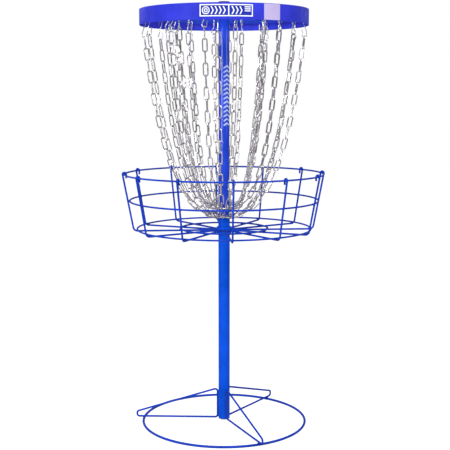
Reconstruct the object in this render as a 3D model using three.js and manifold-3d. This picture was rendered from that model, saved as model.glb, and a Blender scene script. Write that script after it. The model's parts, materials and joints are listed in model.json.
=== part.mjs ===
// Portable disc golf basket: base ring and legs, two-piece pole, wire basket, band and chains.
// Millimetres, +Z up, origin on the ground under the pole's centre, front (sign side) towards -Y.

import * as THREE from 'three';
import { mergeVertices } from 'three/addons/utils/BufferGeometryUtils.js';
import Module from 'manifold-3d';

const wasm = await Module();
wasm.setup();

// ---------------------------------------------------------------- driving dimensions

const GAP = 0.3; // between pieces that touch or are welded
const TURN = 2 * Math.PI;
const RAD = Math.PI / 180;
const ROD_SIDES = 6; // a round rod is drawn as a hexagon of the same area
const EQUAL_AREA = Math.sqrt(TURN / (ROD_SIDES * Math.sin(TURN / ROD_SIDES)));
const FLAT_SHARE = EQUAL_AREA * Math.cos(Math.PI / ROD_SIDES); // flat's distance, in rod radii

const BASE_RING_R = 271.5; // rod centre
const BASE_SEGMENTS = 48;
const BASE_ROD = 4; // rod radii from here on
const LEG_ROD = 3.2;
const LEG_AZIMUTHS = [178, 55.5, -66];
const LEG_TOP_Z = 111.5;
const LEG_REACH = 298;
const LEG_U_HEIGHT = 17;
const LEG_BEND = 8;

const LOWER_TUBE = { radius: 19, wall: 1.2, lowZ: 10, highZ: 691.5 };
const UPPER_TUBE = { radius: 17.5, wall: 1.5, lowZ: 626, highZ: 1374 };
const SLIP = 0.4; // radial clearance of a sleeve on a tube
const STOP_PIN_R = 2.5; // the upper tube stands on this pin inside the lower tube
const STOP_PIN_AZIMUTH = 45;
const TOP_CAP = { lip: 1.2, height: 14 }; // lip: how far the flange stands out past the tube
const FOOT_PLUG = { lip: 0.5, height: 5 };

const RING_ROD = 2.9;
const RIB_ROD = 3.1;
const RIM_R = 325;
const RIM_Z = 835;
const MID_R = 308.6;
const MID_Z = 748.4;
const FLOOR_R = 285;
const FLOOR_Z = 655.5;
const FLOOR_INNER_R = 143.5;
const RIB_COUNT = 12;
const RIB_AZIMUTH = 5;
const RIB_TAIL = 13; // hook's tail below the rim's centre
const RIB_BEND = 14;

const HUB_R = 24.5;
const HUB_LOW_Z = 638.5;
const HUB_HIGH_Z = 661;
const SCREW_AZIMUTHS = [-100, -70];
const SCREW_Z = 649.5;
const SCREW_R = 2.6;
const SCREW_PROUD = 0.8;

const BAND_R = 271.5; // outer face
const BAND_WALL = 1.5;
const BAND_LOW_Z = 1311;
const BAND_HIGH_Z = 1361;
const PLATE_STANDOFF = 0.7;
const PLATE_THICK = 0.6;
const SIGN_WIDTH = 158.4;
const SIGN_LOW_Z = 1320;
const SIGN_HIGH_Z = 1355.4;
const SIGN_AZIMUTH = -88.5;
const DECAL_AZIMUTHS = [-64, -52.1];
const DECAL_MARGIN = 1.5;

const CHAIN_COUNT = 12; // in each tier
const CHAIN_BAR = 2.75; // half side of a square bar that weighs what the link chain weighs
// hookDrop: from the support ring's centre down to the top of the chain
const OUTER_CHAIN = { radius: 258, azimuth: 26, ringZ: 694, hookDrop: 62.5, length: 660.6 };
const INNER_CHAIN = { radius: 184, azimuth: 11, ringZ: 723, hookDrop: 42, length: 623.9 };
const CHAIN_STEPS = 10;
const CHAIN_RING_R = 26.5;
const CHAIN_RING_ROD = 2.5;

const SUPPORT_Z = 1338; // support rings' centres
const SUPPORT_ROD = 2.5;
const SPOKE_ROD = 3;
const SPOKE_COUNT = 6;
const SPOKE_AZIMUTH = 18.5;
const SLEEVE_R = 21;
const SLEEVE_LOW_Z = 1328;
const SLEEVE_HIGH_Z = 1350;

// ---------------------------------------------------------------- materials

function paint(color, roughness, metalness) {
  return () => new THREE.MeshStandardMaterial({ color, roughness, metalness });
}

const bluePaint = paint(0x0b4fd8, 0.35, 0.1);
const zinc = paint(0xc4c6c8, 0.3, 0.9);
const darkPlastic = paint(0x1b205a, 0.5, 0);
const whiteVinyl = paint(0xf2f4fa, 0.5, 0);
const lavenderVinyl = paint(0xc6bbf3, 0.45, 0);

// ---------------------------------------------------------------- shared shapes

/** Regular section outline of a round rod, with a flat or a corner towards +X. */
function rodOutline(radius, flatFirst = false) {
  const points = [];
  const offset = flatFirst ? 0.5 : 0;
  for (let i = 0; i < ROD_SIDES; i++) {
    const angle = ((i + offset) / ROD_SIDES) * TURN;
    const reach = radius * EQUAL_AREA;
    points.push(new THREE.Vector2(reach * Math.cos(angle), reach * Math.sin(angle)));
  }
  return points;
}

/** Turns a closed (r, z) outline about Z. The first corner of the polygon is at firstAzimuth. */
function turned(outline, segments, firstAzimuth = 0) {
  const profile = outline.map((p) => new THREE.Vector2(p.x, p.y));
  if (profile[0].x > 1e-6) profile.push(profile[0].clone());
  const geometry = new THREE.LatheGeometry(profile, segments, 0, TURN);
  geometry.rotateX(Math.PI / 2);
  geometry.rotateZ(Math.PI / 2 + firstAzimuth * RAD);
  return geometry;
}

/** Wire hoop with flats on its inner and outer side. */
function hoop(radius, z, rod, segments, firstAzimuth) {
  const outline = rodOutline(rod, true).map((p) => new THREE.Vector2(p.x + radius, p.y + z));
  return turned(outline, segments, firstAzimuth);
}

/** Tube between two heights, open at both ends. */
function sleeve(innerR, outerR, lowZ, highZ, segments, firstAzimuth = 0) {
  const outline = [[innerR, lowZ], [outerR, lowZ], [outerR, highZ], [innerR, highZ]];
  return turned(outline.map(([r, z]) => new THREE.Vector2(r, z)), segments, firstAzimuth);
}

/** A path through given stations: sections stand where the stations are, not evenly spaced. */
class StationPath extends THREE.Curve {
  constructor(stations) {
    super();
    this.stations = stations;
  }
  getUtoTmapping(u) {
    return u;
  }
  blend(t, key) {
    const last = this.stations.length - 1;
    const place = Math.min(Math.max(t, 0), 1) * last;
    const index = Math.min(Math.floor(place + 1e-9), last - 1);
    const [a, b] = [this.stations[index][key], this.stations[index + 1][key]];
    return a.clone().lerp(b, place - index);
  }
  getPoint(t) {
    return this.blend(t, 'point');
  }
  getTangent(t) {
    return this.blend(t, 'tangent').normalize();
  }
}

/** Stations along corners [r, z, bend radius], each bend an arc in steps of at most stepDegrees. */
function bentStations(corners, stepDegrees) {
  const at = corners.map(([r, z]) => new THREE.Vector3(r, 0, z));
  const stations = [];
  const add = (point, tangent) => {
    const previous = stations[stations.length - 1];
    if (!previous || previous.point.distanceTo(point) > 0.05) stations.push({ point, tangent });
  };
  const direction = (i) => at[i + 1].clone().sub(at[i]).normalize();
  add(at[0], direction(0));
  for (let i = 1; i < at.length - 1; i++) {
    const [before, after] = [direction(i - 1), direction(i)];
    const bend = Math.acos(THREE.MathUtils.clamp(before.dot(after), -1, 1));
    const reach = corners[i][2] * Math.tan(bend / 2);
    const start = at[i].clone().addScaledVector(before, -reach);
    const inward = after.clone().addScaledVector(before, -before.dot(after)).normalize();
    const steps = Math.max(1, Math.ceil(bend / (stepDegrees * RAD)));
    for (let k = 0; k <= steps; k++) {
      const angle = (bend * k) / steps;
      const along = corners[i][2] * Math.sin(angle);
      const aside = corners[i][2] * (1 - Math.cos(angle));
      const point = start.clone().addScaledVector(before, along).addScaledVector(inward, aside);
      const tangent = before.clone().multiplyScalar(Math.cos(angle));
      add(point, tangent.addScaledVector(inward, Math.sin(angle)));
    }
  }
  add(at[at.length - 1], direction(at.length - 2));
  return stations;
}

/** Solid bar of the given outline along stations in the XZ plane, turned to an azimuth. */
function bar(outline, stations, azimuth) {
  const geometry = new THREE.ExtrudeGeometry(new THREE.Shape(outline), {
    steps: stations.length - 1,
    extrudePath: new StationPath(stations),
  });
  return geometry.rotateZ(azimuth * RAD);
}

/** Solid piece of a cylinder wall between two azimuths. */
function curvedPlate(innerR, thick, fromAzimuth, toAzimuth, lowZ, highZ) {
  const shape = new THREE.Shape();
  shape.absarc(0, 0, innerR + thick, fromAzimuth * RAD, toAzimuth * RAD, false);
  shape.absarc(0, 0, innerR, toAzimuth * RAD, fromAzimuth * RAD, true);
  const options = { depth: highZ - lowZ, bevelEnabled: false, curveSegments: 10 };
  return new THREE.ExtrudeGeometry(shape, options).translate(0, 0, lowZ);
}

// ---------------------------------------------------------------- joining and cutting

function toSolid(geometry) {
  const bare = geometry.clone();
  bare.deleteAttribute('normal');
  bare.deleteAttribute('uv');
  const merged = mergeVertices(bare, 1e-4);
  const vertProperties = new Float32Array(merged.attributes.position.array);
  const triVerts = new Uint32Array(merged.index.array);
  return new wasm.Manifold(new wasm.Mesh({ numProp: 3, vertProperties, triVerts }));
}

function toGeometry(solid) {
  const mesh = solid.getMesh();
  const geometry = new THREE.BufferGeometry();
  geometry.setAttribute('position', new THREE.BufferAttribute(mesh.vertProperties, 3));
  geometry.setIndex(new THREE.BufferAttribute(mesh.triVerts, 1));
  geometry.computeVertexNormals();
  return geometry;
}

/** Cylinder lying along an azimuth through the pole's axis. */
function crossCylinder(radius, from, to, z, azimuth, segments) {
  const geometry = new THREE.CylinderGeometry(radius, radius, to - from, segments);
  geometry.rotateZ(-Math.PI / 2).translate((from + to) / 2, 0, z);
  return geometry.rotateZ(azimuth * RAD);
}

function drilled(geometry, drills) {
  return toGeometry(drills.reduce((solid, drill) => solid.subtract(toSolid(drill)), toSolid(geometry)));
}

// ---------------------------------------------------------------- base

/** Ground hoop with flats on its underside and top. A facet is centred on the +X axis. */
function baseRing() {
  const outline = rodOutline(BASE_ROD / FLAT_SHARE);
  const placed = outline.map((p) => new THREE.Vector2(p.x + BASE_RING_R, p.y + BASE_ROD));
  return turned(placed, BASE_SEGMENTS, 180 / BASE_SEGMENTS);
}

function baseLeg(azimuth) {
  const poleSide = LOWER_TUBE.radius + LEG_ROD * EQUAL_AREA + GAP;
  const lowZ = 2 * BASE_ROD + LEG_ROD * EQUAL_AREA + GAP;
  const weldZ = (lowZ + LEG_TOP_Z) / 2;
  const tip = LEG_REACH - LEG_ROD;
  const corners = [
    [poleSide, weldZ - 0.5, 0],
    [poleSide, lowZ, LEG_BEND],
    [tip, lowZ, LEG_BEND],
    [tip, lowZ + LEG_U_HEIGHT, LEG_BEND],
    [poleSide, LEG_TOP_Z, LEG_BEND],
    [poleSide, weldZ + 0.5, 0],
  ];
  return bar(rodOutline(LEG_ROD), bentStations(corners, 30), azimuth);
}

// ---------------------------------------------------------------- pole

function poleTube({ radius, wall, lowZ, highZ }) {
  return sleeve(radius - wall, radius, lowZ, highZ, 24);
}

const STOP_PIN_Z = UPPER_TUBE.lowZ - GAP - STOP_PIN_R;

function lowerTube() {
  const reach = 2 * LOWER_TUBE.radius;
  const radius = STOP_PIN_R + GAP;
  const drill = crossCylinder(radius, -reach, reach, STOP_PIN_Z, STOP_PIN_AZIMUTH, 12);
  return drilled(poleTube(LOWER_TUBE), [drill]);
}

function stopPin() {
  const reach = LOWER_TUBE.radius - GAP;
  return crossCylinder(STOP_PIN_R, -reach, reach, STOP_PIN_Z, STOP_PIN_AZIMUTH, 12);
}

/** Round plug with a crowned flange: outline in (r, height from the tube's end). */
function endPlug({ radius, wall }, endZ, outward, { lip, height }) {
  const stemR = radius - wall - GAP;
  const flangeR = radius + lip;
  const outline = [
    [0, -18], [stemR - 1, -18], [stemR, -16], [stemR, GAP],
    [radius, GAP], [flangeR, GAP + 1.2], [flangeR, height - 3], [flangeR - 2, height - 1],
    [flangeR - 8, height - 0.2], [0, height],
  ];
  const points = outline.map(([r, h]) => new THREE.Vector2(r, endZ + outward * h));
  if (outward < 0) points.reverse();
  return turned(points, 24);
}

// ---------------------------------------------------------------- basket

const TOUCH = RING_ROD * FLAT_SHARE + RIB_ROD * EQUAL_AREA + GAP; // rib centre to ring centre

/** Wall line of the ribs: parallel to the line through the rim and middle ring's centres. */
function ribWallRadius(z) {
  const slope = (RIM_R - MID_R) / (RIM_Z - MID_Z);
  const aside = TOUCH * Math.hypot(1, slope);
  return RIM_R + aside + slope * (z - RIM_Z);
}

function basketRib(azimuth) {
  const overZ = RIM_Z + TOUCH;
  const underZ = FLOOR_Z - TOUCH;
  const corners = [
    [RIM_R - TOUCH, RIM_Z - RIB_TAIL, 0],
    [RIM_R - TOUCH, overZ, TOUCH],
    [ribWallRadius(overZ), overZ, TOUCH],
    [ribWallRadius(underZ), underZ, RIB_BEND],
    [HUB_R + GAP, underZ, 0],
  ];
  return bar(rodOutline(RIB_ROD), bentStations(corners, 31), azimuth);
}

function hub() {
  const shell = sleeve(LOWER_TUBE.radius + SLIP, HUB_R, HUB_LOW_Z, HUB_HIGH_Z, 24, RIB_AZIMUTH);
  const drill = (azimuth) => crossCylinder(SCREW_R + GAP, 5, 2 * HUB_R, SCREW_Z, azimuth, 12);
  return drilled(shell, SCREW_AZIMUTHS.map(drill));
}

/** Headless screw with a round socket, from the lower tube's wall out through the hub. */
function hubScrew(azimuth) {
  const [tip, end] = [LOWER_TUBE.radius + GAP, HUB_R + SCREW_PROUD];
  const [socketR, socketDepth] = [1.3, 2];
  const outline = [
    [0, tip], [SCREW_R - 0.6, tip], [SCREW_R, tip + 0.6], [SCREW_R, end - 0.4],
    [SCREW_R - 0.4, end], [socketR, end], [socketR, end - socketDepth], [0, end - socketDepth],
  ];
  const geometry = turned(outline.map(([r, z]) => new THREE.Vector2(r, z)), 12);
  geometry.rotateY(Math.PI / 2).rotateZ(azimuth * RAD);
  return geometry.translate(0, 0, SCREW_Z);
}

// ---------------------------------------------------------------- band and chain support

function signPlate() {
  const half = SIGN_WIDTH / 2 / BAND_R / RAD;
  return curvedPlate(
    BAND_R + PLATE_STANDOFF, PLATE_THICK, SIGN_AZIMUTH - half, SIGN_AZIMUTH + half,
    SIGN_LOW_Z, SIGN_HIGH_Z,
  );
}

function accentDecal() {
  return curvedPlate(
    BAND_R + PLATE_STANDOFF, PLATE_THICK, ...DECAL_AZIMUTHS,
    BAND_LOW_Z + DECAL_MARGIN, BAND_HIGH_Z - DECAL_MARGIN,
  );
}

/** Sleeve on the pole's top with straight spokes out to the band, joined to one piece. */
function chainSupport() {
  const spokeZ = SUPPORT_Z + (SUPPORT_ROD + SPOKE_ROD) * EQUAL_AREA + GAP;
  const innerR = UPPER_TUBE.radius + SLIP;
  const reach = (BAND_R - BAND_WALL) * Math.cos(Math.PI / 48) - GAP - 0.3;
  let solid = toSolid(sleeve(innerR, SLEEVE_R, SLEEVE_LOW_Z, SLEEVE_HIGH_Z, 24));
  for (let i = 0; i < SPOKE_COUNT; i++) {
    const azimuth = SPOKE_AZIMUTH + (360 / SPOKE_COUNT) * i;
    const rod = SPOKE_ROD * EQUAL_AREA;
    const spoke = crossCylinder(rod, SLEEVE_R - 1.5, reach, spokeZ, azimuth, ROD_SIDES);
    solid = solid.add(toSolid(spoke));
  }
  return toGeometry(solid);
}

// ---------------------------------------------------------------- chains

/** Height of a chain of given length hung from (r1, z1) to (r2, z2), as a function of r. */
function hangingCurve(r1, z1, r2, z2, length) {
  const [span, rise] = [r2 - r1, z2 - z1];
  const want = Math.sqrt(length * length - rise * rise);
  let [low, high] = [1, 5000];
  for (let i = 0; i < 80; i++) {
    const middle = (low + high) / 2;
    const got = 2 * middle * Math.sinh(Math.min(span / (2 * middle), 300));
    if (got > want) low = middle;
    else high = middle;
  }
  const scale = (low + high) / 2;
  const lowest = (r1 + r2) / 2 - scale * Math.atanh(rise / length);
  const base = z1 - scale * Math.cosh((r1 - lowest) / scale);
  return { scale, lowest, height: (r) => base + scale * Math.cosh((r - lowest) / scale) };
}

/** Stations at even lengths along one hanging chain, from the ring end up to the support ring. */
function chainStations({ radius, ringZ, hookDrop, length }) {
  const topZ = SUPPORT_Z - hookDrop;
  const curve = hangingCurve(CHAIN_RING_R, ringZ, radius, topZ, length);
  const arc = (r) => curve.scale * Math.sinh((r - curve.lowest) / curve.scale);
  const endGap = CHAIN_RING_ROD * EQUAL_AREA + CHAIN_BAR + GAP;
  const from = arc(CHAIN_RING_R + endGap);
  const to = arc(radius);
  const stations = [];
  for (let i = 0; i <= CHAIN_STEPS; i++) {
    const rise = (from + ((to - from) * i) / CHAIN_STEPS) / curve.scale;
    const r = curve.lowest + curve.scale * Math.asinh(rise);
    const tangent = new THREE.Vector3(1, 0, rise).normalize();
    stations.push({ point: new THREE.Vector3(r, 0, curve.height(r)), tangent });
  }
  const hookTop = SUPPORT_Z - SUPPORT_ROD * EQUAL_AREA - GAP - 0.5;
  stations.push({
    point: new THREE.Vector3(radius, 0, hookTop),
    tangent: new THREE.Vector3(0, 0, 1),
  });
  return stations;
}

function squareOutline(half) {
  const corners = [[-half, -half], [half, -half], [half, half], [-half, half]];
  return corners.map(([x, y]) => new THREE.Vector2(x, y));
}

// ---------------------------------------------------------------- assembly

const basket = new THREE.Group();

function addPart(name, geometry, material) {
  const mesh = new THREE.Mesh(geometry, material());
  mesh.name = name;
  basket.add(mesh);
}

const numbered = (name, index) => `${name}_${String(index + 1).padStart(2, '0')}`;

addPart('base_ring', baseRing(), bluePaint);
LEG_AZIMUTHS.forEach((azimuth, i) => {
  addPart(numbered('base_leg', i), baseLeg(azimuth), bluePaint);
});

addPart('pole_lower', lowerTube(), bluePaint);
addPart('pole_upper', poleTube(UPPER_TUBE), bluePaint);
addPart('pole_stop_pin', stopPin(), zinc);
addPart('pole_foot_plug', endPlug(LOWER_TUBE, LOWER_TUBE.lowZ, -1, FOOT_PLUG), darkPlastic);
addPart('pole_top_cap', endPlug(UPPER_TUBE, UPPER_TUBE.highZ, 1, TOP_CAP), darkPlastic);

addPart('basket_hub', hub(), bluePaint);
SCREW_AZIMUTHS.forEach((azimuth, i) => {
  addPart(numbered('hub_screw', i), hubScrew(azimuth), zinc);
});
for (let i = 0; i < RIB_COUNT; i++) {
  addPart(numbered('basket_rib', i), basketRib(RIB_AZIMUTH + (360 / RIB_COUNT) * i), bluePaint);
}
addPart('rim_ring', hoop(RIM_R, RIM_Z, RING_ROD, 36, RIB_AZIMUTH), bluePaint);
addPart('mid_ring', hoop(MID_R, MID_Z, RING_ROD, 36, RIB_AZIMUTH), bluePaint);
addPart('floor_ring_outer', hoop(FLOOR_R, FLOOR_Z, RING_ROD, 36, RIB_AZIMUTH), bluePaint);
addPart('floor_ring_inner', hoop(FLOOR_INNER_R, FLOOR_Z, RING_ROD, 24, RIB_AZIMUTH), bluePaint);

const bandShell = sleeve(BAND_R - BAND_WALL, BAND_R, BAND_LOW_Z, BAND_HIGH_Z, 48);
addPart('band', bandShell, bluePaint);
addPart('sign_plate', signPlate(), whiteVinyl);
addPart('accent_decal', accentDecal(), lavenderVinyl);
addPart('chain_support', chainSupport(), bluePaint);
for (const [name, tier, segments] of [
  ['support_ring_outer', OUTER_CHAIN, 36],
  ['support_ring_inner', INNER_CHAIN, 24],
]) {
  addPart(name, hoop(tier.radius, SUPPORT_Z, SUPPORT_ROD, segments, tier.azimuth), bluePaint);
}

for (const [tierName, tier, ringName] of [
  ['chain_outer', OUTER_CHAIN, 'chain_ring_lower'],
  ['chain_inner', INNER_CHAIN, 'chain_ring_upper'],
]) {
  const stations = chainStations(tier);
  for (let i = 0; i < CHAIN_COUNT; i++) {
    const azimuth = tier.azimuth + (360 / CHAIN_COUNT) * i;
    addPart(numbered(tierName, i), bar(squareOutline(CHAIN_BAR), stations, azimuth), zinc);
  }
  addPart(ringName, hoop(CHAIN_RING_R, tier.ringZ, CHAIN_RING_ROD, 24, tier.azimuth), zinc);
}

export default basket;
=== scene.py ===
"""Disc golf basket: the looks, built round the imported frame. Metres, +Z up, front towards -Y."""

import json
import math
import random

import bpy
import numpy as np
from mathutils import Matrix, Vector


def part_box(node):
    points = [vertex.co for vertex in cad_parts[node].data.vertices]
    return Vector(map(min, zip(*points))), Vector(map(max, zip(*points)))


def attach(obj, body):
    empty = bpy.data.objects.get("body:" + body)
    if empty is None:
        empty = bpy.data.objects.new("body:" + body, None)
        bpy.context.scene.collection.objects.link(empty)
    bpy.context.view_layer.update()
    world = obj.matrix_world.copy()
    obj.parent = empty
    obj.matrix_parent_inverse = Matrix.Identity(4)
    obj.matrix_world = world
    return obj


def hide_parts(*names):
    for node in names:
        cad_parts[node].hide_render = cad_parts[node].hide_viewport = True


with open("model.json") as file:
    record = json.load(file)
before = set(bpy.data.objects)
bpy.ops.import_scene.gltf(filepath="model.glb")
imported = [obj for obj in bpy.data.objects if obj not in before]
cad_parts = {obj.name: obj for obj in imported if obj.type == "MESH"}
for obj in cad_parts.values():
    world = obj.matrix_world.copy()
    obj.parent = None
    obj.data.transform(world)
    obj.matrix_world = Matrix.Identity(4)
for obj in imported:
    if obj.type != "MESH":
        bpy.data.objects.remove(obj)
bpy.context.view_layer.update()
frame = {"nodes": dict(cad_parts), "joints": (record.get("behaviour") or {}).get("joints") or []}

STAND = "stand"
UP = Vector((0, 0, 1))
TURN = 2 * math.pi

# ------------------------------------------------------------------ wire and sheet sizes

RING_WIRE = 0.0029  # radii
RIB_WIRE = 0.0031
LEG_WIRE = 0.0032
SPOKE_WIRE = 0.003
SMALL_RING_WIRE = 0.0025  # support rings and chain rings
LEG_BEND = 0.008
LEG_TIP = 0.017  # height of a leg's tip between its wires' centres
LINK_WIRE = 0.0019
HOOK_WIRE = 0.0016
LINK_WIDTH = 0.0175  # over the wire
LINK_PITCH = 0.0367
LINKS = {"outer": 18, "inner": 17}
HOOK_DROP = {"outer": 0.0625, "inner": 0.042}  # from the support ring's centre to the chain's top
RING_SAG = 0.0022  # a chain ring hangs this far below its chains' centre lines
WELD_PRESS = 0.0001  # crossing wires sink into each other by this much
BAND_SHEET = 0.0015
BAND_SEAM = math.radians(97)  # azimuth of the band's lap joint
LAP_THICK = 0.0011
RIB_TAIL = 0.013  # a rib hook's tail below the rim's centre
RIB_BEND = 0.014
SPOKES = 6
SLEEVE_R = 0.021


# ------------------------------------------------------------------ camera and stage


def make_camera():
    data = bpy.data.cameras.new("camera")
    data.sensor_width = 36.0
    data.lens = 79.06
    data.clip_start, data.clip_end = 0.1, 100.0
    camera = bpy.data.objects.new("camera", data)
    camera.location = (0.003, -3.230, 1.093)
    camera.rotation_euler = (math.radians(90 - 7.54), 0, 0)
    bpy.context.scene.collection.objects.link(camera)
    bpy.context.scene.camera = camera


def area_light(name, place, target, width, height, power, colour=(1, 1, 1)):
    data = bpy.data.lights.new(name, "AREA")
    data.shape = "RECTANGLE"
    data.size, data.size_y = width, height
    data.energy = power
    data.color = colour
    light = bpy.data.objects.new(name, data)
    light.location = place
    aim = Vector(target) - Vector(place)
    light.rotation_euler = aim.to_track_quat("-Z", "Y").to_euler()
    bpy.context.scene.collection.objects.link(light)


def make_world():
    """White behind the object; a dimmer even light falls on it."""
    world = bpy.data.worlds.new("studio")
    bpy.context.scene.world = world
    world.use_nodes = True
    nodes, links = world.node_tree.nodes, world.node_tree.links
    nodes.clear()
    output = nodes.new("ShaderNodeOutputWorld")
    mix = nodes.new("ShaderNodeMixShader")
    path = nodes.new("ShaderNodeLightPath")
    seen = nodes.new("ShaderNodeBackground")
    seen.inputs["Color"].default_value = (1, 1, 1, 1)
    seen.inputs["Strength"].default_value = 1.0
    lit = nodes.new("ShaderNodeBackground")
    lit.inputs["Color"].default_value = (0.96, 0.98, 1.0, 1)
    lit.inputs["Strength"].default_value = 0.18
    links.new(path.outputs["Is Camera Ray"], mix.inputs["Fac"])
    links.new(lit.outputs["Background"], mix.inputs[1])
    links.new(seen.outputs["Background"], mix.inputs[2])
    links.new(mix.outputs["Shader"], output.inputs["Surface"])


def floor_material():
    """Pale floor that glows for the camera, so that it meets the white behind it."""
    material = bpy.data.materials.new("floor_white")
    material.use_nodes = True
    nodes, links = material.node_tree.nodes, material.node_tree.links
    shader = nodes["Principled BSDF"]
    shader.inputs["Roughness"].default_value = 0.95
    shader.inputs["Specular IOR Level"].default_value = 0.0
    shader.inputs["Emission Color"].default_value = (1, 1, 1, 1)
    path = nodes.new("ShaderNodeLightPath")
    for socket, lit, seen in (("Base Color", 0.6, 0.26), ("Emission Strength", 0.0, 0.96)):
        shade = nodes.new("ShaderNodeMapRange")
        shade.inputs["To Min"].default_value = lit
        shade.inputs["To Max"].default_value = seen
        links.new(path.outputs["Is Camera Ray"], shade.inputs["Value"])
        links.new(shade.outputs["Result"], shader.inputs[socket])
    return material


def make_stage():
    make_world()
    mesh = bpy.data.meshes.new("floor")
    half = 30.0
    corners = [(-half, -half, 0), (half, -half, 0), (half, half, 0), (-half, half, 0)]
    mesh.from_pydata(corners, [], [(0, 1, 2, 3)])
    floor = bpy.data.objects.new("floor", mesh)
    floor.location.z = -0.0005
    bpy.context.scene.collection.objects.link(floor)
    mesh.materials.append(floor_material())
    middle = (0, 0, 0.75)
    area_light("front_high", (-1.6, -4.6, 4.2), middle, 4.0, 2.4, 260)
    area_light("front_right", (3.6, -3.4, 3.4), middle, 2.4, 2.4, 75)
    area_light("overhead", (0, 0.4, 4.2), middle, 3.5, 3.5, 60)
    area_light("back_left", (-3.2, 3.2, 2.6), middle, 2.4, 2.4, 20)
    area_light("back_right", (3.2, 3.2, 2.6), middle, 2.4, 2.4, 20)
    area_light("streak_left", (-2.45, -2.25, 1.12), (0, 0, 1.12), 0.5, 0.8, 34)
    area_light("streak_right", (2.8, -1.5, 1.3), (0, 0, 1.2), 0.4, 0.8, 12)


# ------------------------------------------------------------------ materials


class Surface:
    """A Principled material with helpers for its procedural inputs."""

    def __init__(self, name, roughness, metallic=0.0):
        self.material = bpy.data.materials.new(name)
        self.material.use_nodes = True
        self.tree = self.material.node_tree
        self.shader = self.tree.nodes["Principled BSDF"]
        self.shader.inputs["Metallic"].default_value = metallic
        self.shader.inputs["Roughness"].default_value = roughness
        self.place = self.tree.nodes.new("ShaderNodeTexCoord").outputs["Object"]

    def noise(self, scale, detail):
        node = self.tree.nodes.new("ShaderNodeTexNoise")
        node.inputs["Scale"].default_value = scale
        node.inputs["Detail"].default_value = detail
        self.tree.links.new(self.place, node.inputs["Vector"])
        return node.outputs["Fac"]

    def ramp(self, source, stops):
        node = self.tree.nodes.new("ShaderNodeValToRGB")
        elements = node.color_ramp.elements
        while len(elements) < len(stops):
            elements.new(0.5)
        for element, (position, colour) in zip(elements, stops):
            element.position = position
            element.color = (*colour, 1)
        self.tree.links.new(source, node.inputs["Fac"])
        return node.outputs["Color"]

    def span(self, source, low, high):
        node = self.tree.nodes.new("ShaderNodeMapRange")
        node.inputs["From Min"].default_value = 0.3
        node.inputs["From Max"].default_value = 0.7
        node.inputs["To Min"].default_value = low
        node.inputs["To Max"].default_value = high
        self.tree.links.new(source, node.inputs["Value"])
        return node.outputs["Result"]

    def link(self, source, socket):
        self.tree.links.new(source, self.shader.inputs[socket])

    def bump(self, source, strength, distance):
        node = self.tree.nodes.new("ShaderNodeBump")
        node.inputs["Strength"].default_value = strength
        node.inputs["Distance"].default_value = distance
        self.tree.links.new(source, node.inputs["Height"])
        self.link(node.outputs["Normal"], "Normal")


def powder_coat(name, colour, roughness, specular, peel=0.0002):
    """Powder coat: slightly uneven colour, orange peel and a soft gloss."""
    surface = Surface(name, roughness)
    surface.shader.inputs["Specular IOR Level"].default_value = specular
    dark = tuple(c * 0.86 for c in colour)
    light = tuple(min(1.0, c * 1.1 + 0.004) for c in colour)
    surface.link(surface.ramp(surface.noise(14, 3), [(0.35, dark), (0.65, light)]), "Base Color")
    surface.link(surface.span(surface.noise(60, 3), 0.8 * roughness, 1.2 * roughness), "Roughness")
    surface.bump(surface.noise(900, 2), 0.25, peel)
    return surface.material


def zinc_plate(name, low, high, roughness):
    """Bright plated steel wire: metal with faint cloudy patches and drawing marks."""
    surface = Surface(name, roughness, 1.0)
    stops = [(0.3, low), (0.7, high)]
    surface.link(surface.ramp(surface.noise(160, 4), stops), "Base Color")
    worn = surface.span(surface.noise(420, 3), roughness - 0.09, roughness + 0.12)
    surface.link(worn, "Roughness")
    surface.bump(surface.noise(1500, 2), 0.3, 0.0001)
    return surface.material


def plain_plastic(name, colour, roughness, grain):
    """Moulded plastic or printed vinyl with a fine surface grain."""
    surface = Surface(name, roughness)
    dark = tuple(c * 0.93 for c in colour)
    surface.link(surface.ramp(surface.noise(30, 3), [(0.35, dark), (0.65, colour)]), "Base Color")
    worn = surface.span(surface.noise(200, 2), roughness - 0.05, roughness + 0.08)
    surface.link(worn, "Roughness")
    surface.bump(surface.noise(grain, 2), 0.2, 0.0001)
    return surface.material


def weld_coat(name, colour):
    """Powder coat over a weld: the same paint, lumpier and a little duller."""
    surface = Surface(name, 0.42)
    dark = tuple(c * 0.7 for c in colour)
    surface.link(surface.ramp(surface.noise(90, 3), [(0.3, dark), (0.7, colour)]), "Base Color")
    surface.bump(surface.noise(450, 3), 0.6, 0.0006)
    surface.shader.inputs["Specular IOR Level"].default_value = 0.3
    return surface.material


lower_paint = powder_coat("lower_paint", (0.0, 0.073, 0.63), 0.3, 0.06)
upper_paint = powder_coat("upper_paint", (0.010, 0.052, 0.60), 0.1, 0.5, 0.00004)
wire_paint = powder_coat("wire_paint", (0.004, 0.042, 0.44), 0.34, 0.1)
band_paint = powder_coat("band_paint", (0.026, 0.036, 0.57), 0.5, 0.1)
weld_paint = weld_coat("weld_paint", (0.004, 0.038, 0.40))
sign_paint = powder_coat("sign_paint", (0.008, 0.02, 0.33), 0.5, 0.2)
chain_zinc = zinc_plate("chain_zinc", (0.40, 0.38, 0.40), (0.78, 0.74, 0.77), 0.2)
hook_zinc = zinc_plate("hook_zinc", (0.62, 0.64, 0.68), (0.82, 0.84, 0.88), 0.2)
screw_steel = zinc_plate("screw_steel", (0.05, 0.05, 0.055), (0.1, 0.1, 0.11), 0.42)
dark_plastic = plain_plastic("dark_plastic", (0.006, 0.008, 0.06), 0.45, 700)
white_vinyl = plain_plastic("white_vinyl", (0.86, 0.89, 0.96), 0.4, 500)
print_white = plain_plastic("print_white", (0.5, 0.6, 0.95), 0.4, 500)
lavender_vinyl = plain_plastic("lavender_vinyl", (0.50, 0.43, 0.74), 0.42, 500)


# ------------------------------------------------------------------ mesh building


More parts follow.
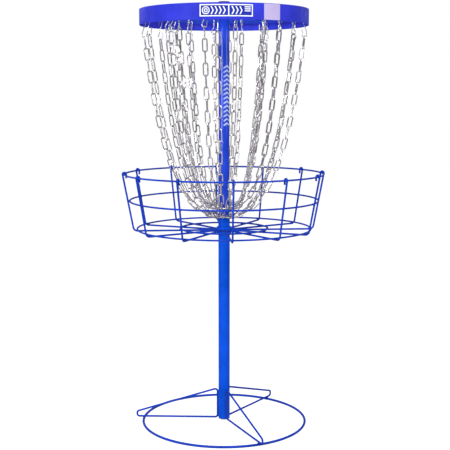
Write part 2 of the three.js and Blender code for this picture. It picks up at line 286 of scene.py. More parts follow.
class Shape:
    """Vertices and faces of one piece, gathered from several parts."""

    def __init__(self):
        self.verts, self.faces = [], []

    def add(self, part):
        verts, faces = part
        base = len(self.verts)
        self.verts.extend(tuple(v) for v in verts)
        self.faces.extend(tuple(i + base for i in face) for face in faces)
        return self

    def piece(self, name, material, slot, body=STAND, replaces=(), crease=38):
        """Makes the object, which rides on the body and stands for the CAD nodes it replaces."""
        mesh = bpy.data.meshes.new(name)
        mesh.from_pydata(self.verts, [], self.faces)
        mesh.validate()
        mesh.shade_smooth()
        mesh.set_sharp_from_angle(angle=math.radians(crease))
        mesh.materials.append(material)
        obj = bpy.data.objects.new(name, mesh)
        bpy.context.scene.collection.objects.link(obj)
        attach(obj, body)
        if replaces:
            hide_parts(*replaces)


def grid_faces(rows, columns, closed_rows=False, closed_columns=True):
    """Quads between rows of vertices; rows or columns may close on themselves."""
    faces = []
    for i in range(rows if closed_rows else rows - 1):
        for j in range(columns if closed_columns else columns - 1):
            a, b = i * columns + j, i * columns + (j + 1) % columns
            c, d = (i + 1) % rows * columns + (j + 1) % columns, (i + 1) % rows * columns + j
            faces.append((a, b, c, d))
    return faces


def transport(points, closed):
    """Tangents and twist-free normals along a line of points."""
    points = [Vector(p) for p in points]
    count = len(points)
    tangents = []
    for i in range(count):
        before = points[(i - 1) % count] if closed or i > 0 else points[i]
        after = points[(i + 1) % count] if closed or i < count - 1 else points[i]
        tangents.append((after - before).normalized())
    start = UP if abs(tangents[0].z) < 0.9 else Vector((1, 0, 0))
    normal = (start - tangents[0] * start.dot(tangents[0])).normalized()
    normals = [normal]
    for previous, tangent in zip(tangents, tangents[1:]):
        normal = previous.rotation_difference(tangent) @ normal
        normal = (normal - tangent * normal.dot(tangent)).normalized()
        normals.append(normal)
    return points, tangents, normals


def rod(points, radius, sides=12, closed=False, edge=0.35):
    """Round bar along points. Open ends get a rounded edge of edge times the radius."""
    points, tangents, normals = transport(points, closed)
    stations = [(p, t, n, radius) for p, t, n in zip(points, tangents, normals)]
    if not closed:
        lip = edge * radius
        for end, sign in ((0, 1), (-1, -1)):
            p, t, n, _ = stations[end]
            ring = []
            for angle in (0, 30, 60, 90):
                turn = math.radians(angle)
                inset = lip * (1 - math.sin(turn)) * sign
                ring.append((p + t * inset, t, n, radius - lip * (1 - math.cos(turn))))
            if end == 0:
                stations[0:1] = ring[::-1]
            else:
                stations[-1:] = ring
    verts = []
    for p, t, n, r in stations:
        side = t.cross(n)
        for j in range(sides):
            angle = TURN * j / sides
            verts.append(p + (n * math.cos(angle) + side * math.sin(angle)) * r)
    rows = len(stations)
    faces = grid_faces(rows, sides, closed_rows=closed)
    if not closed:
        faces.append(tuple(range(sides))[::-1])
        faces.append(tuple((rows - 1) * sides + j for j in range(sides)))
    return verts, faces


def lathe(outline, segments, closed=True):
    """Turns an outline of (r, z) about the pole's axis. An open outline starts and ends on it."""
    verts, rows = [], len(outline)
    for i in range(segments):
        angle = TURN * i / segments
        for r, z in outline:
            verts.append((r * math.cos(angle), r * math.sin(angle), z))
    faces = []
    for i in range(segments):
        following = (i + 1) % segments
        for j in range(rows if closed else rows - 1):
            k = (j + 1) % rows
            face = [i * rows + j, following * rows + j, following * rows + k, i * rows + k]
            if outline[j][0] < 1e-9:
                face.remove(following * rows + j)
            if outline[k][0] < 1e-9:
                face.remove(following * rows + k)
            if len(face) > 2:
                faces.append(tuple(face))
    return merged(verts, faces)


def merged(verts, faces):
    """Joins vertices that lie in one place, as on a turned outline's axis."""
    index, kept, where = {}, [], []
    for v in verts:
        key = tuple(round(c, 8) for c in v)
        if key not in index:
            index[key] = len(kept)
            kept.append(v)
        where.append(index[key])
    cleaned = []
    for face in faces:
        ids = [where[i] for i in face]
        ids = [a for n, a in enumerate(ids) if a != ids[n - 1]]
        if len(ids) > 2:
            cleaned.append(tuple(ids))
    return kept, cleaned


def softened(outline, radius, steps):
    """Rounds the corners of a closed (r, z) outline."""
    points, count = [], len(outline)
    for i, corner in enumerate(outline):
        corner = Vector(corner)
        before, after = Vector(outline[i - 1]), Vector(outline[(i + 1) % count])
        reach = min(radius, (before - corner).length * 0.45, (after - corner).length * 0.45)
        if reach < 1e-7:
            points.append(tuple(corner))
            continue
        start = corner + (before - corner).normalized() * reach
        end = corner + (after - corner).normalized() * reach
        for k in range(steps + 1):
            t = k / steps
            points.append(tuple(start * (1 - t) ** 2 + corner * 2 * t * (1 - t) + end * t ** 2))
    return points


def bent(corners, step=8.0):
    """Points along corners (x, z, bend radius) in a vertical plane, bends as arcs."""
    at = [Vector((x, 0, z)) for x, z, _ in corners]
    points = [at[0]]
    for i in range(1, len(at) - 1):
        before, after = (at[i] - at[i - 1]).normalized(), (at[i + 1] - at[i]).normalized()
        bend, radius = before.angle(after), corners[i][2]
        start = at[i] - before * radius * math.tan(bend / 2)
        inward = (after - before * before.dot(after)).normalized()
        steps = max(2, math.ceil(math.degrees(bend) / step))
        for k in range(steps + 1):
            angle = bend * k / steps
            point = start + before * radius * math.sin(angle)
            point = point + inward * radius * (1 - math.cos(angle))
            if (point - points[-1]).length > 1e-5:
                points.append(point)
    points.append(at[-1])
    return points


def filled_in(points, longest=0.03):
    """Adds points to long straight stretches."""
    result = [points[0]]
    for a, b in zip(points, points[1:]):
        steps = max(1, math.ceil((b - a).length / longest))
        result.extend(a.lerp(b, k / steps) for k in range(1, steps + 1))
    return result


def placed(part, matrix):
    verts, faces = part
    return [matrix @ Vector(v) for v in verts], faces


def turned_to(azimuth):
    return Matrix.Rotation(azimuth, 4, "Z")


def axes_matrix(origin, x_axis, y_axis, z_axis):
    """Matrix that puts a part's own axes along the given directions."""
    matrix = Matrix((x_axis, y_axis, z_axis)).transposed().to_4x4()
    matrix.translation = origin
    return matrix


def lump(origin, along, outward, sizes, seed):
    """Small weld lump: an uneven ellipsoid with half sizes along, across and outward."""
    rng = random.Random(seed)
    across = outward.cross(along).normalized()
    phases = [rng.uniform(0, TURN) for _ in range(3)]
    rows, columns, verts = 7, 12, []
    for i in range(1, rows):
        polar = math.pi * i / rows
        for j in range(columns):
            turn = TURN * j / columns
            uneven = 1 + 0.09 * math.sin(3 * turn + phases[0]) + 0.06 * math.sin(
                5 * turn + 4 * polar + phases[1]
            )
            verts.append((
                sizes[0] * uneven * math.sin(polar) * math.cos(turn),
                sizes[1] * uneven * math.sin(polar) * math.sin(turn),
                sizes[2] * math.cos(polar),
            ))
    faces = grid_faces(rows - 1, columns)
    faces = [face[::-1] for face in faces]
    verts += [(0, 0, sizes[2]), (0, 0, -sizes[2])]
    top, bottom, last = len(verts) - 2, len(verts) - 1, (rows - 2) * columns
    for j in range(columns):
        k = (j + 1) % columns
        faces.append((j, k, top))
        faces.append((last + k, last + j, bottom))
    return placed((verts, faces), axes_matrix(origin, along, across, outward))


def fillet_weld(origin, axis, wire, spread, height, seed):
    """Weld bead round a rod's end where it meets a wall; axis points away from the wall."""
    rng = random.Random(seed)
    phases = [rng.uniform(0, TURN) for _ in range(2)]
    side = axis.orthogonal().normalized()
    other = axis.cross(side)
    profile = [
        (wire * 0.6, -0.0006), (wire + spread, -0.0006), (wire + spread * 0.85, height * 0.25),
        (wire + spread * 0.45, height * 0.62), (wire + 0.0001, height), (wire * 0.6, height),
    ]
    columns, verts = 20, []
    for r, h in profile:
        for j in range(columns):
            turn = TURN * j / columns
            ripple = 1 + 0.10 * math.sin(6 * turn + phases[0])
            ripple += 0.06 * math.sin(9 * turn + phases[1])
            reach = wire + (r - wire) * ripple if r > wire else r
            verts.append(
                origin + axis * h + (side * math.cos(turn) + other * math.sin(turn)) * reach
            )
    rows = len(profile)
    return verts, grid_faces(rows, columns, closed_rows=True)


def ribbon(wrap, edge_a, edge_b, thick, closed=False):
    """Raised strip between two edges of (s, z) points on a curved surface."""
    verts = []
    for a, b in zip(edge_a, edge_b):
        verts += [wrap(*a, 0), wrap(*b, 0), wrap(*b, thick), wrap(*a, thick)]
    rows = len(edge_a)
    faces = grid_faces(rows, 4, closed_rows=closed)
    if not closed:
        faces += [(3, 2, 1, 0), tuple((rows - 1) * 4 + k for k in range(4))]
    return verts, faces


def wrapper(radius, azimuth):
    """Maps (arc length from azimuth, z, height off the wall) to a point on a cylinder."""

    def wrap(s, z, height):
        angle = azimuth + s / radius
        return ((radius + height) * math.cos(angle), (radius + height) * math.sin(angle), z)

    return wrap


def even(low, high, count):
    return [low + (high - low) * k / count for k in range(count + 1)]


# ------------------------------------------------------------------ reading the frame


def radii(node):
    """Least and greatest distance of a node's corners from the pole's axis."""
    distances = [math.hypot(v.co.x, v.co.y) for v in frame["nodes"][node].data.vertices]
    return min(distances), max(distances)


def hoop_line(node):
    """Centre-line radius and height of a hoop round the pole's axis."""
    low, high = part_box(node)
    return sum(radii(node)) / 2, (low.z + high.z) / 2


def azimuth_of(node):
    """Direction in which a radial node reaches farthest."""
    far = radii(node)[1] * 0.99
    reach = [v.co for v in frame["nodes"][node].data.vertices if math.hypot(v.co.x, v.co.y) > far]
    middle = sum(reach, Vector())
    return math.atan2(middle.y, middle.x)


def nodes_named(prefix):
    return sorted(name for name in frame["nodes"] if name.startswith(prefix))


def spread(node):
    low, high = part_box(node)
    return low.z, high.z


LOWER_BORE, LOWER_R = radii("pole_lower")
UPPER_BORE, UPPER_R = radii("pole_upper")
RIM_R, RIM_Z = hoop_line("rim_ring")
MID_R, MID_Z = hoop_line("mid_ring")
FLOOR_R, FLOOR_Z = hoop_line("floor_ring_outer")
INNER_R, INNER_Z = hoop_line("floor_ring_inner")
BASE_R, BASE_Z = hoop_line("base_ring")
HUB_R = radii("basket_hub")[1]
BAND_R = radii("band")[1]
TOUCH = RING_WIRE + RIB_WIRE - WELD_PRESS
RIB_ANGLES = {name: azimuth_of(name) for name in nodes_named("basket_rib_")}


# ------------------------------------------------------------------ base


def circle(radius, z, count):
    return [
        (radius * math.cos(TURN * k / count), radius * math.sin(TURN * k / count), z)
        for k in range(count)
    ]


def make_base():
    base_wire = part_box("base_ring")[1].z / 2
    ring = Shape().add(rod(circle(BASE_R, BASE_Z, 160), base_wire, 16, closed=True))
    ring.piece("base_hoop", wire_paint, "blue_paint", replaces=["base_ring"])
    seam_angle = math.radians(140)
    seam = Vector((math.cos(seam_angle), math.sin(seam_angle), 0))
    welds = Shape()
    welds.add(lump(seam * BASE_R + UP * BASE_Z, UP.cross(seam), seam,
                   (0.0028, base_wire * 1.08, base_wire * 1.1), 3))
    for name in nodes_named("base_leg_"):
        make_leg(name, base_wire, welds)
    welds.piece("base_welds", weld_paint, "blue_paint")


def make_leg(name, base_wire, welds):
    azimuth = azimuth_of(name)
    pole_side = LOWER_R + LEG_WIRE - WELD_PRESS
    low = 2 * base_wire + LEG_WIRE - WELD_PRESS
    top = spread(name)[1] - LEG_WIRE
    corner_top = top + 0.35 * LEG_BEND  # the bend takes this much off the corner
    tip = radii(name)[1] - LEG_WIRE
    weld_z = (low + top) / 2
    corners = [
        (pole_side, weld_z - 0.0004, 0), (pole_side, low, LEG_BEND), (tip, low, LEG_BEND),
        (tip, low + LEG_TIP, LEG_BEND), (pole_side, corner_top, LEG_BEND),
        (pole_side, weld_z + 0.0004, 0),
    ]
    matrix = turned_to(azimuth)
    points = [matrix @ p for p in filled_in(bent(corners))]
    leg = Shape().add(rod(points, LEG_WIRE, 14))
    leg.piece(f"{name}_rod", wire_paint, "blue_paint", replaces=[name])
    outward = matrix @ Vector((1, 0, 0))
    aside = UP.cross(outward)
    seed = 10 * int(name[-1])
    for k, side in enumerate((-1, 1)):
        foot = outward * BASE_R + UP * (2 * base_wire) + aside * side * LEG_WIRE * 0.8
        welds.add(lump(foot, outward, UP, (0.0042, 0.0028, 0.0022), seed + k))
        for n, z in enumerate(even(low + 0.006, top - 0.008, 12)):
            spot = outward * (LOWER_R + 0.0006) + aside * side * LEG_WIRE * 0.85 + UP * z
            welds.add(lump(spot, UP, (outward + aside * side).normalized(),
                           (0.0044, 0.0022, 0.0015), seed + 20 * k + n))
    butt = outward * pole_side + UP * weld_z
    welds.add(lump(butt, UP, outward, (0.002, LEG_WIRE * 1.1, LEG_WIRE * 1.15), seed + 9))


# ------------------------------------------------------------------ pole


def make_pole():
    for name, bore, radius in (
        ("pole_lower", LOWER_BORE, LOWER_R), ("pole_upper", UPPER_BORE, UPPER_R),
    ):
        low, high = spread(name)
        outline = [(bore, low), (radius, low), (radius, high), (bore, high)]
        corners = softened(outline, 0.0007, 4)
        half = len(corners) // 2
        wall = corners[:half] + [(radius, z) for z in even(low, high, 12)[1:-1]] + corners[half:]
        tube = Shape().add(lathe(wall, 72))
        paint = upper_paint if name == "pole_upper" else lower_paint
        tube.piece(f"{name}_tube", paint, "blue_paint", replaces=[name])
    make_stop_pin()
    make_cap()
    make_plug()


def make_stop_pin():
    low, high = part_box("pole_stop_pin")
    radius, z = (high.z - low.z) / 2, (high.z + low.z) / 2
    reach = radii("pole_stop_pin")[1] - 0.0002
    outward = turned_to(azimuth_of("pole_stop_pin")) @ Vector((1, 0, 0))
    outline = [(0, -reach), (radius - 0.0005, -reach), (radius, -reach + 0.0005)]
    outline += [(radius, reach - 0.0005), (radius - 0.0005, reach), (0, reach)]
    matrix = axes_matrix(UP * z, UP.cross(outward), UP, outward)
    pin = Shape().add(placed(lathe(outline, 28, closed=False), matrix))
    pin.piece("pole_stop_pin_rod", screw_steel, "zinc", replaces=["pole_stop_pin"])


def make_cap():
    low, high = spread("pole_top_cap")
    rim = spread("pole_upper")[1]
    stem, flange = UPPER_BORE - 0.0003, radii("pole_top_cap")[1]
    outline = [(0, low), (stem - 0.001, low), (stem, low + 0.002)]
    for z in even(low + 0.004, rim - 0.004, 3):
        outline += [(stem, z - 0.0008), (stem - 0.0007, z), (stem, z + 0.0008)]
    outline += [(stem, rim + 0.0003), (flange - 0.0008, rim + 0.0003), (flange, rim + 0.0012)]
    turn, crown = 0.0022, 0.0008
    for step in even(0, 1.2, 6):
        edge = (flange - turn * (1 - math.cos(step)), high - crown - turn * (1 - math.sin(step)))
        outline.append(edge)
    outline += [(flange * 0.5, high - crown * 0.25), (0, high)]
    cap = Shape().add(lathe(outline, 56, closed=False))
    cap.piece("pole_cap", dark_plastic, "dark_plastic", replaces=["pole_top_cap"])


def make_plug():
    low, high = spread("pole_foot_plug")
    rim = spread("pole_lower")[0]
    stem, flange = LOWER_BORE - 0.0003, LOWER_R - 0.0002
    edge = rim - 0.0012
    outline = [(0, low)]
    for step in even(math.pi / 2, 0.25, 7)[1:]:
        outline.append((flange * math.cos(step), edge - (edge - low) * math.sin(step)))
    outline += [(flange, edge), (flange - 0.0006, rim - 0.0003), (stem, rim - 0.0003)]
    outline += [(stem, high - 0.002), (stem - 0.001, high), (0, high)]
    plug = Shape().add(lathe(outline, 56, closed=False))
    plug.piece("pole_foot", dark_plastic, "dark_plastic", replaces=["pole_foot_plug"])


def make_pole_marks():
    """Plain white chevrons printed up the front right of the upper pole."""
    wrap = wrapper(UPPER_R, math.radians(-58))
    thick, stroke, rise, half = 0.00025, 0.0052, 0.0075, 0.0115
    start, step, count = 0.990, 0.0141, 14
    marks = Shape()
    for z in even(start, start + step * (count - 1), count - 1):
        columns = even(-half, half, 10)
        low = [(s, z + rise * (1 - abs(s) / half)) for s in columns]
        marks.add(ribbon(wrap, low, [(s, t + stroke) for s, t in low], thick))
    marks.piece("pole_chevrons", print_white, "white_vinyl")


# ------------------------------------------------------------------ basket


def rib_wall(z):
    """Radius of the ribs' straight wall line at a height."""
    slope = (RIM_R - MID_R) / (RIM_Z - MID_Z)
    return RIM_R + TOUCH * math.hypot(1, slope) + slope * (z - RIM_Z)


def make_basket():
    under = FLOOR_Z - TOUCH
    over = RIM_Z + TOUCH
    corners = [
        (RIM_R - TOUCH, RIM_Z - RIB_TAIL, 0), (RIM_R - TOUCH, over, TOUCH),
        (rib_wall(over), over, TOUCH), (rib_wall(under), under, RIB_BEND),
        (HUB_R - 0.0004, under, 0),
    ]
    line = filled_in(bent(corners))
    for name, azimuth in RIB_ANGLES.items():
        matrix = turned_to(azimuth)
        rib = Shape().add(rod([matrix @ p for p in line], RIB_WIRE, 14))
        rib.piece(f"{name}_rod", wire_paint, "blue_paint", replaces=[name])
    for node, radius, z in (
        ("rim_ring", RIM_R, RIM_Z), ("mid_ring", MID_R, MID_Z),
        ("floor_ring_outer", FLOOR_R, FLOOR_Z), ("floor_ring_inner", INNER_R, INNER_Z),
    ):
        hoop = Shape().add(rod(circle(radius, z, 144), RING_WIRE, 14, closed=True))
        hoop.piece(f"{node}_wire", wire_paint, "blue_paint", replaces=[node])
    make_basket_welds(under)
    make_hub()


def make_basket_welds(under):
    slope = math.atan2(RIM_R - MID_R, RIM_Z - MID_Z)
    crossings = {
        "rim_welds": (RIM_R, RIM_Z, Vector((math.cos(slope), 0, -math.sin(slope)))),
        "mid_welds": (MID_R, MID_Z, Vector((math.cos(slope), 0, -math.sin(slope)))),
        "floor_welds": (FLOOR_R, FLOOR_Z, Vector((0, 0, -1))),
        "inner_floor_welds": (INNER_R, INNER_Z, Vector((0, 0, -1))),
    }
    for n, (piece, (radius, z, towards)) in enumerate(crossings.items()):
        welds = Shape()
        for k, azimuth in enumerate(RIB_ANGLES.values()):
            matrix = turned_to(azimuth)
            outward = matrix @ towards
            middle = matrix @ Vector((radius, 0, z)) + outward * RING_WIRE
            along = matrix @ Vector((0, 1, 0))
            welds.add(lump(middle, along, outward, (0.0048, 0.0042, 0.0021), 100 * n + k))
        welds.piece(piece, weld_paint, "blue_paint")
    welds = Shape()
    for k, azimuth in enumerate(RIB_ANGLES.values()):
        outward = turned_to(azimuth) @ Vector((1, 0, 0))
        welds.add(fillet_weld(outward * HUB_R + UP * under, outward, RIB_WIRE, 0.0016, 0.0028, k))
    welds.piece("hub_welds", weld_paint, "blue_paint")


def make_hub():
    low, high = spread("basket_hub")
    inner = radii("basket_hub")[0]
    outline = softened([(inner, low), (HUB_R, low), (HUB_R, high), (inner, high)], 0.0014, 4)
    hub = Shape().add(lathe(outline, 72))
    hub.piece("hub_sleeve", lower_paint, "blue_paint", replaces=["basket_hub"])
    for name in nodes_named("hub_screw_"):
        make_hub_screw(name)


def hex_reach(angle, across):
    """Distance from a hexagon's centre to its side at an angle; across is over its flats."""
    sixth = math.pi / 3
    return across / 2 / math.cos((angle + sixth / 2) % sixth - sixth / 2)


def make_hub_screw(name):
    """Headless screw with a hexagon socket."""
    end = radii(name)[1]
    tip = HUB_R - 0.005
    outward = turned_to(azimuth_of(name)) @ Vector((1, 0, 0))
    low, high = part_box(name)
    radius, socket = (high.z - low.z) / 2, 0.0026
    rows = [
        (radius - 0.0004, None, tip), (radius, None, tip + 0.0005), (radius, None, end - 0.0005),
        (radius - 0.0005, None, end), (0, socket, end), (0, socket, end - 0.0022),
    ]
    columns, verts = 36, []
    for r, across, depth in rows:
        for j in range(columns):
            angle = TURN * j / columns
            reach = hex_reach(angle, across) if across else r
            verts.append((reach * math.cos(angle), reach * math.sin(angle), depth))
    faces = grid_faces(len(rows), columns)
    faces.append(tuple(range(columns))[::-1])
    last = (len(rows) - 1) * columns
    verts.append((0, 0, end - 0.0027))
    faces += [(last + j, last + (j + 1) % columns, len(verts) - 1) for j in range(columns)]
    centre = UP * (low.z + high.z) / 2
    matrix = axes_matrix(centre, UP.cross(outward), UP, outward)
    screw = Shape().add(placed((verts, faces), matrix))
    screw.piece(f"{name}_socket", screw_steel, "zinc", replaces=[name])


# ------------------------------------------------------------------ band and its support


def make_band():
    low, high = spread("band")
    inner = BAND_R - BAND_SHEET
    hem, fold = 0.0085, 0.0013
    outline = [
        (inner - fold, low), (BAND_R, low), (BAND_R, high), (inner - fold, high),
        (inner - fold, high - hem), (inner, high - hem),
        (inner, low + hem), (inner - fold, low + hem),
    ]
    band = Shape().add(lathe(softened(outline, 0.0011, 4), 180))
    band.piece("band_hoop", band_paint, "blue_paint", replaces=["band"])
    make_band_seam(low, high)
    make_sign()
    make_decal()


def make_band_seam(low, high):
    """Lap joint and rivets at the back of the band."""
    wrap = wrapper(BAND_R, BAND_SEAM)
    columns = even(-0.016, 0.016, 8)
    margin = 0.0006
    bottom = [(s, low + margin) for s in columns]
    top = [(s, high - margin) for s in columns]
    lap = Shape().add(ribbon(wrap, bottom, top, LAP_THICK))
    lap.piece("band_lap", band_paint, "blue_paint")
    rivets = Shape()
    outward = turned_to(BAND_SEAM) @ Vector((1, 0, 0))
    for z in even(low + 0.009, high - 0.009, 2):
        head = [(0, -0.001), (0.0036, -0.001), (0.0036, 0.0002)]
        for angle in even(0.2, math.pi / 2, 5):
            head.append((0.0036 * math.cos(angle), 0.0002 + 0.0014 * math.sin(angle)))
        head[-1] = (0, head[-1][1])
        place = outward * (BAND_R + LAP_THICK) + UP * z
        matrix = axes_matrix(place, UP.cross(outward), UP, outward)
        rivets.add(placed(lathe(head, 24, closed=False), matrix))
    rivets.piece("band_rivets", band_paint, "blue_paint")


def chevron(s, z, width, half_height, stroke):
    """Edges of a chevron that points along s."""
    line = [(s, z - half_height), (s + width, z), (s, z + half_height)]
    return line, [(a + stroke, b) for a, b in line]


def make_sign():
    """Dark panel with a white frame and plain marks: a disc, chevrons and bars."""
    low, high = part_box("sign_plate")
    azimuth = math.atan2((low.y + high.y) / 2, (low.x + high.x) / 2)
    outer = radii("sign_plate")[1]
    half = math.asin((high.x - low.x) / 2 / outer) * outer
    half_height = (high.z - low.z) / 2
    middle = (low.z + high.z) / 2
    panel_wrap = wrapper(BAND_R, azimuth)
    columns = even(-half, half, 24)
    panel = Shape().add(ribbon(
        panel_wrap, [(s, low.z) for s in columns], [(s, high.z) for s in columns], outer - BAND_R
    ))
    panel.piece("sign_panel", sign_paint, "blue_paint", replaces=["sign_plate"])
    wrap = wrapper(outer, azimuth)
    thick, border = 0.0003, 0.0032
    marks = Shape()

    def block(left, right, bottom, top):
        across = even(left, right, max(1, round((right - left) / 0.006)))
        marks.add(ribbon(wrap, [(s, middle + bottom) for s in across],
                         [(s, middle + top) for s in across], thick))

    block(-half, half, half_height - border, half_height)
    block(-half, half, -half_height, border - half_height)
    block(-half, border - half, border - half_height, half_height - border)
    block(half - border, half, border - half_height, half_height - border)
    block(0.0055, 0.0085, border - half_height, half_height - border)
    disc_at, disc_radius, disc_stroke = -half + 0.0185, 0.0115, 0.0026
    turns = [TURN * k / 36 for k in range(36)]
    for radius in (disc_radius, disc_radius * 0.5):
        rim = [(disc_at + radius * math.cos(t), middle + radius * math.sin(t)) for t in turns]
        inside = radius - disc_stroke
        hole = [(disc_at + inside * math.cos(t), middle + inside * math.sin(t)) for t in turns]
        marks.add(ribbon(wrap, hole, rim, thick, closed=True))
    for first, count in ((-0.0465, 4), (0.0150, 3)):
        for k in range(count):
            edges = chevron(first + 0.0118 * k, middle, 0.006, 0.0115, 0.0035)
            marks.add(ribbon(wrap, *edges, thick))
    for k in range(3):
        block(0.0545, 0.0725, 0.0085 - 0.0058 * k, 0.0115 - 0.0058 * k)
    marks.piece("sign_marks", white_vinyl, "white_vinyl")


def make_decal():
    low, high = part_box("accent_decal")
    points = [v.co for v in frame["nodes"]["accent_decal"].data.vertices]
    angles = [math.atan2(p.y, p.x) for p in points]
    azimuth = (min(angles) + max(angles)) / 2
    outer = radii("accent_decal")[1]
    half = (max(angles) - min(angles)) / 2 * outer
    wrap = wrapper(BAND_R, azimuth)
    columns = even(-half, half, 12)
    patch = Shape().add(ribbon(
        wrap, [(s, low.z) for s in columns], [(s, high.z) for s in columns], outer - BAND_R
    ))
    patch.piece("band_patch", lavender_vinyl, "lavender_vinyl", replaces=["accent_decal"])


def make_support():
    """Top sleeve with spokes out to the band, and the two rings that the chains hang on."""
    low = spread("pole_upper")[1] - 0.024
    high = low + 0.022
    inner = radii("chain_support")[0]
    spoke_z = hoop_line("support_ring_outer")[1] + SMALL_RING_WIRE + SPOKE_WIRE - WELD_PRESS
    wall = BAND_R - BAND_SHEET
    outline = softened([(inner, low), (SLEEVE_R, low), (SLEEVE_R, high), (inner, high)], 0.001, 4)
    support = Shape().add(lathe(outline, 64))
    welds = Shape()
    first = azimuth_of("chain_support")
    outwards = [turned_to(first + TURN * k / SPOKES) @ Vector((1, 0, 0)) for k in range(SPOKES)]
    for k, outward in enumerate(outwards):
        line = [outward * r + UP * spoke_z for r in even(SLEEVE_R - 0.001, wall + 0.0002, 10)]
        support.add(rod(line, SPOKE_WIRE, 14))
        for radius, away, seed in ((SLEEVE_R, outward, k), (wall, -outward, 9 + k)):
            spot = outward * radius + UP * spoke_z
            welds.add(fillet_weld(spot, away, SPOKE_WIRE, 0.0018, 0.003, seed))
    for n, node in enumerate(("support_ring_outer", "support_ring_inner")):
        radius, z = hoop_line(node)
        hoop = Shape().add(rod(circle(radius, z, 120), SMALL_RING_WIRE, 14, closed=True))
        hoop.piece(f"{node}_wire", wire_paint, "blue_paint", replaces=[node])
        for k, outward in enumerate(outwards):
            spot = outward * radius + UP * (z + SMALL_RING_WIRE)
            welds.add(lump(spot, outward, UP, (0.0046, 0.0046, 0.002), 40 * n + k))
    support.piece("support_spider", wire_paint, "blue_paint", replaces=["chain_support"])
    welds.piece("support_welds", weld_paint, "blue_paint")


# ------------------------------------------------------------------ chains


def hanging_curve(start, end, length):
    """Points by arc length along a chain of that length hung between two (r, z) points."""
    (r1, z1), (r2, z2) = start, end
    span, rise = r2 - r1, z2 - z1
    want = math.sqrt(length * length - rise * rise)
    low, high = 0.001, 5.0
    for _ in range(80):
        middle = (low + high) / 2
        if 2 * middle * math.sinh(min(span / (2 * middle), 300)) > want:
            low = middle
        else:
            high = middle
    scale = (low + high) / 2
    lowest = (r1 + r2) / 2 - scale * math.atanh(rise / length)
    base = z1 - scale * math.cosh((r1 - lowest) / scale)
    from_arc = scale * math.sinh((r1 - lowest) / scale)

    def at(distance):
        r = lowest + scale * math.asinh((from_arc + distance) / scale)
        return Vector((r, 0, base + scale * math.cosh((r - lowest) / scale)))

    return at


def link_part():
    """One straight chain link along x, centred, with a slight weld bulge on one side."""
    half_width = LINK_WIDTH / 2 - LINK_WIRE
    straight = (LINK_PITCH + 2 * LINK_WIRE) / 2 - half_width
    line = []
    for k in range(9):
        angle = -math.pi / 2 + math.pi * k / 8
        line.append((straight + half_width * math.cos(angle), half_width * math.sin(angle)))
    line += [(share * straight, half_width) for share in (0.6, 0.1, 0, -0.1, -0.6)]
    for k in range(9):
        angle = math.pi / 2 + math.pi * k / 8
        line.append((half_width * math.cos(angle) - straight, half_width * math.sin(angle)))
    line += [(x, -half_width) for x in (-0.5 * straight, 0, 0.5 * straight)]
    points, tangents, normals = transport([(x, y, 0) for x, y in line], True)
    sides, verts = 9, []
    for p, t, n in zip(points, tangents, normals):
        bulge = 1.16 if abs(p.x) < 0.11 * straight and p.y > 0 else 1.0
        side = t.cross(n)
        for j in range(sides):
            angle = TURN * j / sides
            verts.append(p + (n * math.cos(angle) + side * math.sin(angle)) * LINK_WIRE * bulge)
    return verts, grid_faces(len(points), sides, closed_rows=True)


def hook_line(top, bottom, high_direction, low_direction):
    """Centre line of a long S-hook: over a ring wire at the top, under a link at the bottom."""
    upper, lower = 0.0068, 0.0074
    tail = 0.24 * (top - bottom)
    upper_z = top - upper
    lower_z = bottom + lower
    line = [(upper, upper_z - tail * t, 0.0) for t in even(1, 0, 5)[:-1]]
    for angle in even(0, 180, 12):
        turn = math.radians(angle)
        line.append((upper * math.cos(turn), upper_z + upper * math.sin(turn), 0.0))
    for t in even(0, 1, 16)[1:-1]:
        ease = t * t * (3 - 2 * t)
        line.append((-upper + (upper + lower) * ease, upper_z + (lower_z - upper_z) * t, ease))
    for angle in even(0, -180, 12):
        turn = math.radians(angle)
        line.append((lower * math.cos(turn), lower_z + lower * math.sin(turn), 1.0))
    line += [(-lower * (1 + 0.2 * t), lower_z + tail * t, 1.0) for t in even(0, 1, 5)[1:]]
    points = []
    for offset, z, share in line:
        direction = high_direction.lerp(low_direction, share).normalized()
        points.append(direction * offset + UP * z)
    return points


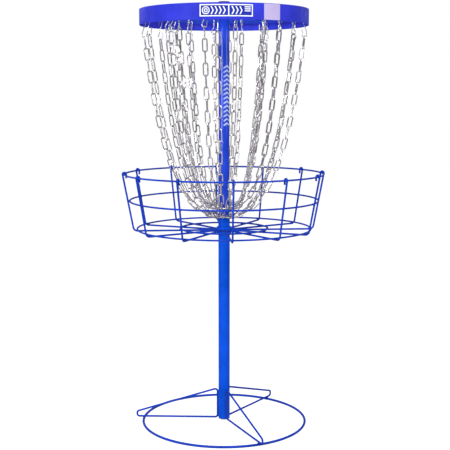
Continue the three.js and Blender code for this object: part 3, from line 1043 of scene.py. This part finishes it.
def make_chains():
    link = link_part()
    link_verts = np.array([tuple(v) for v in link[0]])
    joints = {j["child"]: j for j in frame["joints"]}
    for tier, ring in (("outer", "chain_ring_lower"), ("inner", "chain_ring_upper")):
        ring_r, ring_z = hoop_line(ring)
        support_r, support_z = hoop_line(f"support_ring_{tier}")
        count = LINKS[tier]
        start = (ring_r - SMALL_RING_WIRE, ring_z + RING_SAG)
        drop = HOOK_DROP[tier]
        end = (support_r, support_z - drop)
        curve = hanging_curve(start, end, count * LINK_PITCH)
        ends = [curve(LINK_PITCH * k) for k in range(count + 1)]
        for number, name in enumerate(nodes_named(f"chain_{tier}_")):
            hinge = joints[name]
            azimuth = math.atan2(hinge["pos_m"][1], hinge["pos_m"][0])
            seed = number + (50 if tier == "inner" else 0)
            last_width = make_chain(name, ends, azimuth, link_verts, link[1], seed)
            make_hook(name, ends[-1], drop, azimuth, last_width, seed)
        hoop = Shape().add(rod(circle(ring_r, ring_z, 48), SMALL_RING_WIRE, 14, closed=True))
        seam = Vector((ring_r, 0, ring_z))
        bulge = SMALL_RING_WIRE * 1.12
        hoop.add(lump(seam, Vector((0, 1, 0)), UP, (0.0016, bulge, bulge), 5))
        hoop.piece(f"{ring}_wire", chain_zinc, "zinc", body=ring, replaces=[ring])


def make_chain(name, ends, azimuth, link_verts, link_faces, seed):
    """Links turned a quarter each, with a slow twist up the chain; gives the last link's width."""
    rng = random.Random(1000 + seed)
    twist = math.radians(rng.uniform(-55, 55))
    count = len(ends) - 1
    chain = Shape()
    for k in range(count):
        a, b = ends[k], ends[k + 1]
        along = (b - a).normalized()
        sideways = Vector((0, 1, 0))
        normal = along.cross(sideways)
        turn = math.radians(90 * (k % 2)) + twist * (k / (count - 1)) ** 1.3
        turn += math.radians(rng.uniform(-5, 5)) if k else 0
        width = normal * math.cos(turn) + sideways * math.sin(turn)
        matrix = turned_to(azimuth) @ axes_matrix((a + b) / 2, along, width, along.cross(width))
        full = np.array(matrix)
        chain.add((link_verts @ full[:3, :3].T + full[:3, 3], link_faces))
    chain.piece(f"{name}_links", chain_zinc, "zinc", body=name, replaces=[name])
    return width


def make_hook(name, top_end, drop, azimuth, last_width, seed):
    """The S-hook that holds one chain, its lower loop turned to suit the chain's last link."""
    rng = random.Random(3000 + seed)
    low_direction = Vector((-last_width.y, last_width.x, 0)).normalized()
    if low_direction.x < 0:
        low_direction = -low_direction
    yaw = math.radians(rng.uniform(-14, 14))
    high_direction = Vector((math.cos(yaw), math.sin(yaw), 0))
    top = top_end.z + drop + SMALL_RING_WIRE + HOOK_WIRE
    line = hook_line(top, top_end.z - HOOK_WIRE, high_direction, low_direction)
    matrix = turned_to(azimuth) @ Matrix.Translation((top_end.x, 0, 0))
    hook = Shape().add(rod([matrix @ p for p in line], HOOK_WIRE, 10))
    hook.piece(f"{name}_hook", hook_zinc, "zinc", body=name)


# ------------------------------------------------------------------ making it all

bpy.context.scene.view_settings.view_transform = "Standard"
make_camera()
make_stage()
make_base()
make_pole()
make_pole_marks()
make_basket()
make_band()
make_support()
make_chains()
